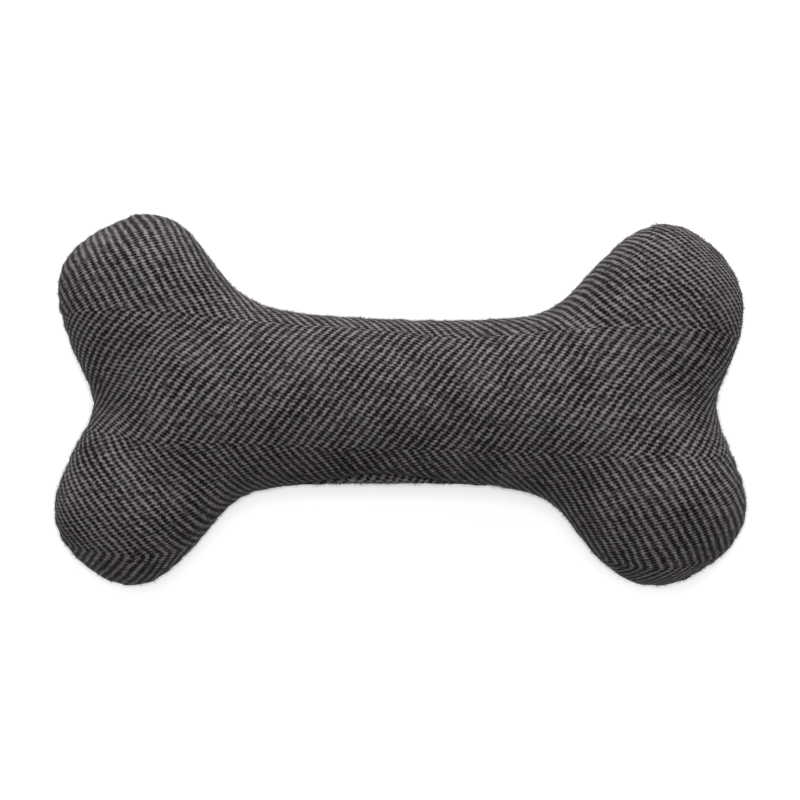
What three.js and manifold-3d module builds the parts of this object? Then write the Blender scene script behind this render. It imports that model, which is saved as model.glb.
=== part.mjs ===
// A squeaky dog toy: a stuffed cloth bone with a squeaker in the middle of its shaft.
// Two tweed panels are sewn face to face, turned right side out, stuffed with wads of polyester
// fibre round the squeaker, and closed by hand along one side of the shaft.
// Millimetres, +Z up. X runs along the bone, Y across it, and the front panel faces +Z.
// The origin is under the middle of the bone, on the surface that its back panel lies on.

import * as THREE from "three";
import { mergeVertices } from "three/addons/utils/BufferGeometryUtils.js";
import Module from "manifold-3d";

// The stuffed bone: four round knobs, hand stuffed and so a little unlike, on a tapering shaft.
// The knobs stand half their spacing and half their spread out, give or take what the hand work left.
const KNOB_SPACING = 178;
const KNOB_SPREAD = 71;
const KNOBS = {
  upper_left: { x: -KNOB_SPACING / 2 + 0.5, y: KNOB_SPREAD / 2 + 1.2, radius: 24.2 },
  upper_right: { x: KNOB_SPACING / 2, y: KNOB_SPREAD / 2 - 2.3, radius: 24 },
  lower_left: { x: -KNOB_SPACING / 2 - 2, y: -KNOB_SPREAD / 2 - 1.5, radius: 23 },
  lower_right: { x: KNOB_SPACING / 2 - 1.5, y: -KNOB_SPREAD / 2 + 0.8, radius: 25.7 },
};
const SHAFT_SETBACK = 27.5;
const SHAFT_HALF_LENGTH = KNOB_SPACING / 2 - SHAFT_SETBACK;
const SHAFT_HALF_WIDTH = { left: 28, right: 26.2 };
const SHAFT_CENTRE_Y = { left: 1, right: -1 };
const SHAFT_THICKNESS = { left: 47, right: 44.7 };
const WAIST_BLEND = 13;

// The cover: two panels of cloth with their edges turned in
const CLOTH = 1.5;
const SEAM_ALLOWANCE = 4.5;
const SEAM_GAP = 0.3;
const LYING_FLAT_DEPTH = 0.5;

// The closing: the stretch of seam along the lower side that was left open for turning and stuffing.
// The hand stitches draw the seam up towards the front there.
const CLOSING_MIDDLE_X = -7;
const CLOSING_HALF_LENGTH = 26;
const CLOSING_RISE = 8;

// Sewing thread
const SEAM_THREAD = 0.5;
const CLOSING_THREAD = 0.6;
const STITCH_INSET = 1;
const STITCH_HOLE = 1.3;
const THREAD_GAP = 0.3;

// Stuffing: knob wads, shaft wads, a nest that holds the squeaker, and a pad over it that is pressed
const FILL_GAP = 0.4;
const WAD_GAP = 0.5;
const KNOB_WAD_START = 50;
const NEST_LENGTH = 48;
const PAD_CLEARANCE = 0.5;

// The squeaker: a soft blow-moulded bladder with a reed unit pushed into the hole in its back
const SQUEAKER_X = -4;
const SQUEAKER_DROP = 4;
const BLADDER_DIAMETER = 32;
const BLADDER_HEIGHT = 20;
const BLADDER_WALL = 0.8;
const FIT_GAP = 0.3;

const SLEEVE_DIAMETER = 11;
const SLEEVE_BORE = 8;
const SLEEVE_LENGTH = 8;
const SLEEVE_FLANGE_DIAMETER = 15;
const SLEEVE_FLANGE = 1.2;

const REED_WIDTH = 4.4;
const REED_THICKNESS = 0.3;
const REED_TIP_SETBACK = 0.8;
const REED_TAIL = 1.9;
const WEDGE_LENGTH = 3.8;
const AIR_CHANNEL_WIDTH = 2;
const AIR_CHANNEL_DEPTH = 1.2;
const AIR_CHANNEL_END_WALL = 1.2;

// The pouch round the squeaker: two cotton discs sewn together at a flat rim
const POUCH_CLOTH = 0.6;
const POUCH_RIM = 1.6;
const POUCH_THREAD = 0.5;

// How finely the surfaces are divided
const SIDE_STEPS = 24;
const END_STEPS = 20;
const RISE_STEPS = 6;
const FINE_STEPS = 200;
const WALK_PER_TURN = 25;
const TURN_STEPS = 20;
const DOME_STEPS = 6;
const THREAD_SIDES = 5;

const wasm = await Module();
wasm.setup();

const RIGHT_ANGLE = Math.PI / 2;
const knobList = Object.values(KNOBS);
const SPINE_HALF_LENGTH = Math.min(...knobList.map((k) => Math.abs(k.x) - k.radius / 2));
const FIELD_REACH = 2 * Math.max(...knobList.map((k) => Math.hypot(k.x, k.y) + k.radius));

// The bone as a field over space

// A value that runs from its left figure at one end of the shaft to its right figure at the other.
function alongShaft(ends, x) {
  const share = THREE.MathUtils.clamp((x / SHAFT_HALF_LENGTH + 1) / 2, 0, 1);
  return THREE.MathUtils.lerp(ends.left, ends.right, share);
}

// How much less high than wide the stuffed bone is.
function flatnessAt(x) {
  return alongShaft(SHAFT_THICKNESS, x) / (2 * alongShaft(SHAFT_HALF_WIDTH, x));
}

// Distance to the bone's skin from a point about its middle plane, negative inside.
// Knobs and shaft are round once their flatness is undone, and flow together over WAIST_BLEND.
function boneField(x, y, z) {
  const height = z / flatnessAt(x);
  const pastEnd = Math.max(Math.abs(x) - SHAFT_HALF_LENGTH, 0);
  const acrossShaft = y - alongShaft(SHAFT_CENTRE_Y, x);
  const distances = [
    Math.hypot(acrossShaft, pastEnd, height) - alongShaft(SHAFT_HALF_WIDTH, x),
    ...knobList.map((k) => Math.hypot(x - k.x, y - k.y, height) - k.radius),
  ];
  const sum = distances.reduce((total, d) => total + Math.exp(-d / WAIST_BLEND), 0);
  return -WAIST_BLEND * Math.log(sum);
}

// The largest step from 0 for which test(step) is still negative, between 0 and the field's reach.
function crossing(test) {
  let low = 0;
  let high = FIELD_REACH;
  for (let i = 0; i < 40; i++) {
    const middle = (low + high) / 2;
    if (test(middle) < 0) low = middle;
    else high = middle;
  }
  return (low + high) / 2;
}

// Stations run round the bone: a foot on the spine inside it, and a level direction out from there.
function station(footX, angle) {
  return { footX, outX: Math.cos(angle), outY: Math.sin(angle) };
}

// The point that lies a level distance out from a station's foot, at a height.
function pointOut(at, distance, z) {
  return new THREE.Vector3(at.footX + at.outX * distance, at.outY * distance, z);
}

// How far out the skin is from a station's foot at a height, for a surface some depth under the skin.
function skinDistance(at, z, depth) {
  return crossing((t) => boneField(at.footX + at.outX * t, at.outY * t, z) + depth);
}

// Stations along one side of the spine, an even step apart: side 1 is the upper side.
function sideStations(side) {
  return Array.from({ length: SIDE_STEPS }, (_, i) => {
    const share = 1 - (2 * i) / SIDE_STEPS;
    return station(side * SPINE_HALF_LENGTH * share, side * RIGHT_ANGLE);
  });
}

// Places to stop on a walk of points: its ends and those between that share out its length and its turns.
function stopsOn(walk, count) {
  const worth = [0];
  for (let i = 1; i < walk.length; i++) {
    const step = new THREE.Vector3().subVectors(walk[i], walk[i - 1]);
    const before = i > 1 ? new THREE.Vector3().subVectors(walk[i - 1], walk[i - 2]) : step;
    worth.push(worth[i - 1] + step.length() + WALK_PER_TURN * step.angleTo(before));
  }
  return Array.from({ length: count + 1 }, (_, i) => {
    if (i === count) return walk.length - 1;
    return worth.findIndex((reached) => reached >= (worth.at(-1) * i) / count);
  });
}

// Stations that fan round one end of the spine, from one side to the other: end 1 is at +X.
function endStations(end) {
  const fan = Array.from({ length: FINE_STEPS + 1 }, (_, i) => {
    const angle = -end * RIGHT_ANGLE + (Math.PI * i) / FINE_STEPS;
    return station(end * SPINE_HALF_LENGTH, angle);
  });
  const edge = fan.map((at) => pointOut(at, skinDistance(at, 0, 0), 0));
  return stopsOn(edge, END_STEPS).slice(0, END_STEPS).map((stop) => fan[stop]);
}

const stations = [...sideStations(1), ...endStations(-1), ...sideStations(-1), ...endStations(1)];

// The point of a surface some depth under the skin, in the direction that rises by an angle from level.
function skinPoint(at, rise, depth) {
  const level = Math.cos(rise);
  const up = Math.sin(rise);
  const reach = crossing((t) => {
    return boneField(at.footX + at.outX * level * t, at.outY * level * t, up * t) + depth;
  });
  return pointOut(at, level * reach, up * reach);
}

// How far along the bone a station is from the middle of the closing, in half lengths of it.
// It is endless off the lower side, which holds the closing.
function closingShare(at) {
  const onLowerSide = Math.abs(at.footX) < SPINE_HALF_LENGTH && at.outY < 0;
  return onLowerSide ? Math.abs(at.footX - CLOSING_MIDDLE_X) / CLOSING_HALF_LENGTH : Infinity;
}

// Height of the seam: the bone's middle plane, drawn up towards the front along the closing.
// It falls back to that plane over a half length of the closing past each of its ends.
function seamHeight(at) {
  const share = Math.min(closingShare(at) / 2, 1);
  return CLOSING_RISE * Math.cos(share * RIGHT_ANGLE) ** 4;
}

// Points of a surface at a station, from beside the seam's stitching to the crown of the front (side 1)
// or back (side -1). Cloth and stuffing share their directions, so their faces lie along each other.
function towardsCrown(at, depth, side) {
  const startZ = seamHeight(at) + side * seamGrooveHeight;
  const start = Math.atan2(startZ, skinDistance(at, startZ, CLOTH + FILL_GAP));
  const rises = Array.from({ length: FINE_STEPS + 1 }, (_, i) => {
    return start + ((side * RIGHT_ANGLE - start) * i) / FINE_STEPS;
  });
  const walk = rises.map((rise) => skinPoint(at, rise, CLOTH + FILL_GAP));
  return stopsOn(walk, RISE_STEPS).map((stop) => skinPoint(at, rises[stop], depth));
}

// Making closed geometry and cutting it

function geometryOf(points, triangles) {
  const flat = points.flatMap((p) => [p.x, p.y, p.z]);
  const loose = new THREE.BufferGeometry();
  loose.setAttribute("position", new THREE.Float32BufferAttribute(flat, 3));
  loose.setIndex(triangles);
  return merged(loose);
}

// The geometry with shared vertices merged and the triangles that closed up dropped.
function merged(geometry) {
  const bare = geometry.clone();
  bare.deleteAttribute("normal");
  bare.deleteAttribute("uv");
  const joined = mergeVertices(bare, 1e-3);
  const index = joined.index.array;
  const kept = [];
  for (let i = 0; i < index.length; i += 3) {
    const [a, b, c] = [index[i], index[i + 1], index[i + 2]];
    if (a !== b && b !== c && c !== a) kept.push(a, b, c);
  }
  joined.setIndex(kept);
  return joined;
}

// A surface whose rows of points follow one another round the bone, closed where the rows' ends meet.
// Rows face out when they run from inside the cloth to outside it, and turnOver is for the other way.
function surfaceThrough(rows, turnOver = false) {
  const width = rows[0].length;
  const triangles = [];
  for (let i = 0; i < rows.length; i++) {
    const here = i * width;
    const next = ((i + 1) % rows.length) * width;
    for (let j = 0; j < width - 1; j++) {
      triangles.push(here + j, next + j, next + j + 1, here + j, next + j + 1, here + j + 1);
    }
  }
  return geometryOf(rows.flat(), turnOver ? triangles.reverse() : triangles);
}

function solidOf(geometry) {
  const closed = merged(geometry);
  return new wasm.Manifold(
    new wasm.Mesh({
      numProp: 3,
      vertProperties: new Float32Array(closed.attributes.position.array),
      triVerts: new Uint32Array(closed.index.array),
    }),
  );
}

function geometryFrom(solid) {
  const mesh = solid.getMesh();
  const made = new THREE.BufferGeometry();
  made.setAttribute("position", new THREE.Float32BufferAttribute(mesh.vertProperties, 3));
  made.setIndex(Array.from(mesh.triVerts));
  return made;
}

function boxBetween(low, high) {
  const size = new THREE.Vector3().subVectors(high, low);
  const middle = new THREE.Vector3().addVectors(low, high).multiplyScalar(0.5);
  return new THREE.BoxGeometry(size.x, size.y, size.z).translate(middle.x, middle.y, middle.z);
}

// A solid turned about an upright axis from (radius, height) pairs that start and end on the axis
// or close on themselves.
function turned(profile) {
  const outline = profile.map(([r, z]) => new THREE.Vector2(r, z));
  return new THREE.LatheGeometry(outline, TURN_STEPS).rotateX(RIGHT_ANGLE);
}

// A round tube along straight runs between points, mitred where one run meets the next.
// Each ring of corners slides along its run until it meets the plane that halves the turn.
function tubeAlong(points, diameter) {
  const runs = points.slice(1).map((p, i) => new THREE.Vector3().subVectors(p, points[i]).normalize());
  const across = new THREE.Vector3().crossVectors(runs[0], new THREE.Vector3(0.36, 0.48, 0.8)).normalize();
  const up = new THREE.Vector3().crossVectors(runs[0], across);
  let ring = Array.from({ length: THREAD_SIDES }, (_, i) => {
    const angle = (2 * Math.PI * i) / THREAD_SIDES;
    const corner = points[0].clone().addScaledVector(across, (Math.cos(angle) * diameter) / 2);
    return corner.addScaledVector(up, (Math.sin(angle) * diameter) / 2);
  });
  const rings = [ring];
  runs.forEach((run, i) => {
    const halving = run.clone().add(runs[i + 1] ?? run).normalize();
    ring = ring.map((corner) => {
      const ahead = new THREE.Vector3().subVectors(points[i + 1], corner).dot(halving) / run.dot(halving);
      return corner.clone().addScaledVector(run, ahead);
    });
    rings.push(ring);
  });
  return cappedTube(rings);
}

// The closed surface of a row of rings with a flat cap on each end.
function cappedTube(rings) {
  const sides = rings[0].length;
  const last = (rings.length - 1) * sides;
  const triangles = [];
  for (let i = 0; i < last; i += sides) {
    for (let j = 0; j < sides; j++) {
      const k = (j + 1) % sides;
      triangles.push(i + j, i + k, i + sides + k, i + j, i + sides + k, i + sides + j);
    }
  }
  for (let j = 1; j < sides - 1; j++) triangles.push(0, j + 1, j, last, last + j, last + j + 1);
  return geometryOf(rings.flat(), triangles);
}

// The bone about its middle plane, and in it the squeaker about its own middle
const bone = new THREE.Group();
const squeaker = new THREE.Group();
squeaker.position.set(SQUEAKER_X, 0, -SQUEAKER_DROP);
bone.add(squeaker);

function addPiece(group, name, geometry, material) {
  const mesh = new THREE.Mesh(geometry, material);
  mesh.name = name;
  group.add(mesh);
}

function finish(color, roughness) {
  return new THREE.MeshStandardMaterial({ color, roughness, metalness: 0 });
}
const tweed = finish(0x4a4848, 0.95);
const thread = finish(0x2b2a2a, 0.8);
const fibre = finish(0xf1efea, 1);
const cotton = finish(0xe4ddcf, 0.95);
const softPlastic = finish(0xf2f2ee, 0.45);
const hardPlastic = finish(0xe9e4d8, 0.4);
const reedFilm = finish(0xcfd6d8, 0.3);

// Heights of the turned-in edges over the seam, on the side of one panel
const allowanceNear = SEAM_GAP / 2;
const allowanceFar = allowanceNear + CLOTH;
const seamThreadHeight = allowanceFar + THREAD_GAP + SEAM_THREAD / 2;
const closingThreadHeight = allowanceFar + THREAD_GAP + CLOSING_THREAD / 2;
const seamGrooveHeight = allowanceFar + 2 * THREAD_GAP + Math.max(SEAM_THREAD, CLOSING_THREAD);

// Distance out to the middle of the stitching at a station.
function stitchDistance(at) {
  const heights = [seamHeight(at) - seamGrooveHeight, seamHeight(at) + seamGrooveHeight];
  return Math.min(...heights.map((z) => skinDistance(at, z, CLOTH + STITCH_INSET)));
}

// Distance out to the raw edge of the turned-in cloth at a station.
function rawEdgeDistance(at) {
  return skinDistance(at, seamHeight(at), SEAM_ALLOWANCE);
}

// Hand stitches of the closing stand at the stations along it.
const closingStations = stations.filter((at) => closingShare(at) <= 1);

// Each panel is a dished shell of cloth with its edge turned in along the seam.
// Its rows run from the inner crown down to the turned-in edge and back up to the outer crown.
function panel(side) {
  const rows = stations.map((at) => {
    const near = seamHeight(at) + side * allowanceNear;
    const far = seamHeight(at) + side * allowanceFar;
    const row = [
      ...towardsCrown(at, CLOTH, side).reverse(),
      pointOut(at, skinDistance(at, far, CLOTH), far),
      pointOut(at, rawEdgeDistance(at), far),
      pointOut(at, rawEdgeDistance(at), near),
      pointOut(at, skinDistance(at, near, 0), near),
      ...towardsCrown(at, 0, side),
    ];
    return side > 0 ? row : row.reverse();
  });
  return closingStations.reduce(
    (shell, at) => shell.subtract(stitchHole(at)),
    solidOf(surfaceThrough(rows)),
  );
}

// A hole for one hand stitch through the turned-in edges of both panels.
function stitchHole(at) {
  const middle = pointOut(at, stitchDistance(at), seamHeight(at));
  const half = new THREE.Vector3(STITCH_HOLE / 2, STITCH_HOLE / 2, seamGrooveHeight);
  const low = new THREE.Vector3().subVectors(middle, half);
  const high = new THREE.Vector3().addVectors(middle, half);
  return solidOf(boxBetween(low, high));
}

const backSkin = stations.flatMap((at) => towardsCrown(at, 0, -1));
const LYING_HEIGHT = -Math.min(...backSkin.map((p) => p.z)) - LYING_FLAT_DEPTH;

const underFloor = solidOf(
  boxBetween(
    new THREE.Vector3(-FIELD_REACH, -FIELD_REACH, -FIELD_REACH),
    new THREE.Vector3(FIELD_REACH, FIELD_REACH, -LYING_HEIGHT),
  ),
);

addPiece(bone, "front_panel", geometryFrom(panel(1)), tweed);
addPiece(bone, "back_panel", geometryFrom(panel(-1).subtract(underFloor)), tweed);

// The machine seam: the needle thread lies on the front panel's turned-in edge and the bobbin thread
// on the back panel's, from one end of the closing right round to the other.
function seamThread(side) {
  const afterClosing = stations.indexOf(closingStations.at(-1)) + 1;
  const count = stations.length - closingStations.length;
  const path = [];
  for (let i = 0; i < count; i++) {
    const at = stations[(afterClosing + i) % stations.length];
    path.push(pointOut(at, stitchDistance(at), seamHeight(at) + side * seamThreadHeight));
  }
  return tubeAlong(path, SEAM_THREAD);
}
addPiece(bone, "seam_needle_thread", seamThread(1), thread);
addPiece(bone, "seam_bobbin_thread", seamThread(-1), thread);

// The closing's ladder stitch: it runs inside one folded edge to the next hole, crosses through both
// edges, and runs on inside the other.
function closingThread() {
  const path = [];
  closingStations.forEach((at, i) => {
    const side = i % 2 ? -1 : 1;
    const run = stitchDistance(at);
    const seam = seamHeight(at);
    if (i > 0) path.push(pointOut(at, run, seam - side * closingThreadHeight));
    if (i < closingStations.length - 1) path.push(pointOut(at, run, seam + side * closingThreadHeight));
  });
  return tubeAlong(path, CLOSING_THREAD);
}
addPiece(bone, "closing_thread", closingThread(), thread);

// The squeaker's profile heights, about its own middle
const bladderRadius = BLADDER_DIAMETER / 2;
const bladderHalf = BLADDER_HEIGHT / 2;
const bladderHole = SLEEVE_DIAMETER / 2 + FIT_GAP;
const backFace = -bladderHalf * Math.sqrt(1 - (bladderHole / bladderRadius) ** 2);
const sleeveTop = backFace + SLEEVE_LENGTH;
const flangeTop = backFace - FIT_GAP;
const flangeBottom = flangeTop - SLEEVE_FLANGE;
const flangeRadius = SLEEVE_FLANGE_DIAMETER / 2;

// A half oval in (radius, height) pairs from a start angle to the pole: side 1 rises, side -1 falls.
function dome(radius, height, side, fromAngle = 0, toAngle = RIGHT_ANGLE) {
  const points = [];
  for (let i = 0; i <= DOME_STEPS; i++) {
    const angle = fromAngle + ((toAngle - fromAngle) * i) / DOME_STEPS;
    const r = i === DOME_STEPS && toAngle === RIGHT_ANGLE ? 0 : radius * Math.cos(angle);
    points.push([r, side * height * Math.sin(angle)]);
  }
  return points;
}

// A hollow oval bladder, open at the hole in its back.
function bladder() {
  const innerRadius = bladderRadius - BLADDER_WALL;
  const innerHalf = bladderHalf - BLADDER_WALL;
  const outerEnd = Math.acos(bladderHole / bladderRadius);
  const innerEnd = Math.acos(bladderHole / innerRadius);
  return turned([
    ...dome(bladderRadius, bladderHalf, -1, 0, outerEnd).reverse(),
    ...dome(bladderRadius, bladderHalf, 1).slice(1),
    ...dome(innerRadius, innerHalf, 1).reverse(),
    ...dome(innerRadius, innerHalf, -1, 0, innerEnd).slice(1),
    [bladderHole, backFace],
  ]);
}
addPiece(squeaker, "squeaker_bladder", merged(bladder()), softPlastic);

// The reed unit: a flanged sleeve with the reed pinched between a bed and a wedge in its bore.
const sleeveRadius = SLEEVE_DIAMETER / 2;
const boreRadius = SLEEVE_BORE / 2;
const coreRadius = boreRadius - FIT_GAP;
const reedHalf = REED_THICKNESS / 2;
const bedFace = -reedHalf - FIT_GAP;
const wedgeTop = flangeBottom + WEDGE_LENGTH;
const reedTip = sleeveTop - REED_TIP_SETBACK;
const reedTail = wedgeTop - REED_TAIL;

const sleeve = turned([
  [boreRadius, flangeBottom],
  [flangeRadius, flangeBottom],
  [flangeRadius, flangeTop],
  [sleeveRadius, flangeTop],
  [sleeveRadius, sleeveTop],
  [boreRadius, sleeveTop],
  [boreRadius, flangeBottom],
]);
addPiece(squeaker, "reed_sleeve", merged(sleeve), hardPlastic);

// A half-round bar that fills the bore on one side of the reed, from the flange up to a height.
function halfBar(top, side) {
  const bar = turned([[0, flangeBottom], [coreRadius, flangeBottom], [coreRadius, top], [0, top]]);
  const keepLow = side > 0 ? -bedFace : -SLEEVE_BORE;
  const keepHigh = side > 0 ? SLEEVE_BORE : bedFace;
  const kept = boxBetween(
    new THREE.Vector3(-SLEEVE_BORE, keepLow, flangeBottom - SLEEVE_BORE),
    new THREE.Vector3(SLEEVE_BORE, keepHigh, top + SLEEVE_BORE),
  );
  return solidOf(bar).intersect(solidOf(kept));
}

const airChannel = solidOf(
  boxBetween(
    new THREE.Vector3(-AIR_CHANNEL_WIDTH / 2, bedFace - AIR_CHANNEL_DEPTH, flangeBottom - SLEEVE_BORE),
    new THREE.Vector3(AIR_CHANNEL_WIDTH / 2, bedFace + SLEEVE_BORE, reedTip - AIR_CHANNEL_END_WALL),
  ),
);
const reedBed = halfBar(reedTip, -1).subtract(airChannel);
addPiece(squeaker, "reed_bed", geometryFrom(reedBed), hardPlastic);
addPiece(squeaker, "reed_wedge", geometryFrom(halfBar(wedgeTop, 1)), hardPlastic);

const reed = boxBetween(
  new THREE.Vector3(-REED_WIDTH / 2, -reedHalf, reedTail),
  new THREE.Vector3(REED_WIDTH / 2, reedHalf, reedTip),
);
addPiece(squeaker, "reed", reed, reedFilm);

// The pouch: a front and a back bowl of cotton whose flat rims are sewn together.
const pouchRadius = bladderRadius + FIT_GAP;
const pouchRimRadius = pouchRadius + POUCH_CLOTH + POUCH_RIM;
const pouchFrontHalf = bladderHalf + FIT_GAP;
const pouchBackHalf =
  (Math.abs(flangeBottom) + FIT_GAP) / Math.sqrt(1 - (flangeRadius / pouchRadius) ** 2);

function pouchBowl(half, side) {
  const rimNear = (side * FIT_GAP) / 2;
  const rimFar = rimNear + side * POUCH_CLOTH;
  const outerRadius = pouchRadius + POUCH_CLOTH;
  const outerHalf = half + POUCH_CLOTH;
  const outerFoot = Math.asin(Math.abs(rimFar) / outerHalf);
  const profile = [
    ...dome(pouchRadius, half, side, Math.asin(Math.abs(rimNear) / half)).reverse(),
    [pouchRimRadius, rimNear],
    [pouchRimRadius, rimFar],
    ...dome(outerRadius, outerHalf, side, outerFoot),
  ];
  return turned(side > 0 ? profile : profile.reverse());
}
addPiece(squeaker, "pouch_front", merged(pouchBowl(pouchFrontHalf, 1)), cotton);
addPiece(squeaker, "pouch_back", merged(pouchBowl(pouchBackHalf, -1)), cotton);

const pouchStitchHeight = FIT_GAP / 2 + POUCH_CLOTH + THREAD_GAP + POUCH_THREAD / 2;
const pouchStitch = new THREE.TorusGeometry(
  pouchRimRadius - POUCH_RIM / 3,
  POUCH_THREAD / 2,
  THREAD_SIDES,
  TURN_STEPS,
).translate(0, 0, pouchStitchHeight);
addPiece(squeaker, "pouch_thread", merged(pouchStitch), cotton);

// The stuffing fills the cover from crown to crown, with a groove that clears the seam and its stitches.
function stuffing() {
  const depth = CLOTH + FILL_GAP;
  const rows = stations.map((at) => {
    const grooveFloor = skinDistance(at, seamHeight(at), SEAM_ALLOWANCE + FILL_GAP);
    return [
      ...towardsCrown(at, depth, 1).reverse(),
      pointOut(at, grooveFloor, seamHeight(at) + seamGrooveHeight),
      pointOut(at, grooveFloor, seamHeight(at) - seamGrooveHeight),
      ...towardsCrown(at, depth, -1),
    ];
  });
  return solidOf(surfaceThrough(rows, true));
}
const wholeStuffing = stuffing();

// The part of the stuffing between two places along X, and on one side of Y if ends are given.
function wad(lowX, highX, lowY = -FIELD_REACH, highY = FIELD_REACH) {
  const low = new THREE.Vector3(lowX, lowY, -FIELD_REACH);
  const high = new THREE.Vector3(highX, highY, FIELD_REACH);
  return wholeStuffing.intersect(solidOf(boxBetween(low, high)));
}

// A wad in each knob, split from its neighbours by a gap between two handfuls.
for (const [name, knob] of Object.entries(KNOBS)) {
  const [lowX, highX] = knob.x < 0 ? [-FIELD_REACH, -KNOB_WAD_START] : [KNOB_WAD_START, FIELD_REACH];
  const [lowY, highY] = knob.y < 0 ? [-FIELD_REACH, -WAD_GAP / 2] : [WAD_GAP / 2, FIELD_REACH];
  addPiece(bone, `fill_knob_${name}`, geometryFrom(wad(lowX, highX, lowY, highY)), fibre);
}

const nestStart = SQUEAKER_X - NEST_LENGTH / 2;
const nestEnd = SQUEAKER_X + NEST_LENGTH / 2;
addPiece(bone, "fill_shaft_left", geometryFrom(wad(WAD_GAP - KNOB_WAD_START, nestStart - WAD_GAP)), fibre);
addPiece(bone, "fill_shaft_right", geometryFrom(wad(nestEnd + WAD_GAP, KNOB_WAD_START - WAD_GAP)), fibre);

// A solid about the squeaker's middle, moved to where the squeaker lies in the bone.
function atSqueaker(geometry) {
  return solidOf(geometry.translate(...squeaker.position.toArray()));
}

// A round column from a height up past the top of the bone.
function upright(radius, fromZ) {
  return turned([[0, fromZ], [radius, fromZ], [radius, FIELD_REACH], [0, FIELD_REACH]]);
}

// The nest holds the pouch in a hollow, under an upright well in which the pad is pressed down.
const wellRadius = pouchRimRadius + FILL_GAP;
const wellFloor = -FIT_GAP / 2 - POUCH_CLOTH - FILL_GAP;
const padBottom = pouchFrontHalf + POUCH_CLOTH + FILL_GAP;
const hollow = turned([
  ...dome(pouchRadius + POUCH_CLOTH + FILL_GAP, pouchBackHalf + POUCH_CLOTH + FILL_GAP, -1).reverse(),
  [0, 0],
]);
const well = upright(wellRadius, wellFloor);
const nest = wad(nestStart, nestEnd).subtract(atSqueaker(hollow)).subtract(atSqueaker(well));
addPiece(bone, "fill_squeaker_nest", geometryFrom(nest), fibre);

const padColumn = upright(wellRadius - PAD_CLEARANCE, padBottom);
addPiece(bone, "fill_press_pad", geometryFrom(wholeStuffing.intersect(atSqueaker(padColumn))), fibre);

// The bone stands with its outline centred over the origin and its flat underside on the floor.
const outline = new THREE.Box3().setFromObject(bone);
bone.position.set(-(outline.min.x + outline.max.x) / 2, -(outline.min.y + outline.max.y) / 2, LYING_HEIGHT);

export default bone;
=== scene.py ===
# A squeaky dog toy: a stuffed bone of herringbone tweed with a squeaker in the middle of its shaft.
# It lies on its back panel. Lengths are in millimetres until a mesh is made, which is in metres.

import bpy
import numpy as np
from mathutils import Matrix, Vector


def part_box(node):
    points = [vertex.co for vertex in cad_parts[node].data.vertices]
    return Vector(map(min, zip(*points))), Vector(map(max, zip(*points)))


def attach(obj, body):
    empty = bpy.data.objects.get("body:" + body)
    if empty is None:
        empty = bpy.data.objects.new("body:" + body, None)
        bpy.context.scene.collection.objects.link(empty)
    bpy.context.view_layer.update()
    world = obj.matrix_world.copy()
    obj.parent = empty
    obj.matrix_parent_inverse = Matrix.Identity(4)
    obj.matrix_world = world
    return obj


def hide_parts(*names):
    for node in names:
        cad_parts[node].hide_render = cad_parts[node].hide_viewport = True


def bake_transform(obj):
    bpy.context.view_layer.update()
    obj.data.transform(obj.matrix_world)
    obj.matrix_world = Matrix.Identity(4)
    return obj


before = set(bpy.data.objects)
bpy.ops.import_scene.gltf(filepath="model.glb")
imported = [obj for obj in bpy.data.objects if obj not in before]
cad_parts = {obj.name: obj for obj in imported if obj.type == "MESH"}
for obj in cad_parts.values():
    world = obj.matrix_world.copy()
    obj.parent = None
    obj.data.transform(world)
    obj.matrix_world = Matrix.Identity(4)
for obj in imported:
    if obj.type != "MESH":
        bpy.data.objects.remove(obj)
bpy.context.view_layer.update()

MM = 0.001

# Camera
# The toy was photographed from straight above, square on, and from far enough away that nothing leans.
# The picture is as wide as the bone and a little more, with the bone's outline near its middle.
PICTURE_WIDTH = 266.3
PICTURE_CENTRE = (0.1, 0.13)
CAMERA_HEIGHT = 2000
SENSOR_WIDTH = 36
SEAM_GAP = 0.3


def put_in_scene(name, data):
    """A new object of a camera, a mesh or a lamp, linked into the scene."""
    made = bpy.data.objects.new(name, data)
    bpy.context.scene.collection.objects.link(made)
    return made


lying_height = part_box("front_panel")[0].z / MM - SEAM_GAP / 2
lens = bpy.data.cameras.new("camera")
lens.sensor_width = SENSOR_WIDTH
lens.lens = SENSOR_WIDTH * (CAMERA_HEIGHT - lying_height) / PICTURE_WIDTH
lens.clip_end = 100
camera = put_in_scene("camera", lens)
camera.location = (PICTURE_CENTRE[0] * MM, PICTURE_CENTRE[1] * MM, CAMERA_HEIGHT * MM)
bpy.context.scene.camera = camera

# Stuffed form
# The bone as it was stuffed: four round knobs, a little unlike, on a tapering shaft. The cloth and the
# fibre inside it all follow one form, worked out as a field whose value is the distance to the skin.
KNOB_SPACING = 178
KNOB_SPREAD = 71
KNOBS = {
    "upper_left": (-KNOB_SPACING / 2 + 0.5, KNOB_SPREAD / 2 + 1.2, 24.2),
    "upper_right": (KNOB_SPACING / 2, KNOB_SPREAD / 2 - 2.3, 24),
    "lower_left": (-KNOB_SPACING / 2 - 2, -KNOB_SPREAD / 2 - 1.5, 23),
    "lower_right": (KNOB_SPACING / 2 - 1.5, -KNOB_SPREAD / 2 + 0.8, 25.7),
}
SHAFT_SETBACK = 27.5
SHAFT_HALF_LENGTH = KNOB_SPACING / 2 - SHAFT_SETBACK
SHAFT_HALF_WIDTH = (28, 26.2)
SHAFT_CENTRE_Y = (1, -1)
SHAFT_THICKNESS = (47, 44.7)
WAIST_BLEND = 13
SPINE_HALF_LENGTH = min(abs(x) - radius / 2 for x, y, radius in KNOBS.values())
FIELD_REACH = 2 * KNOB_SPACING
HALVINGS = 34
SQUEAKER_X = -4
KNOB_SQUARENESS = {"upper_left": 0.9, "upper_right": 0.6, "lower_left": 0.7, "lower_right": 0.6}
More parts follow.
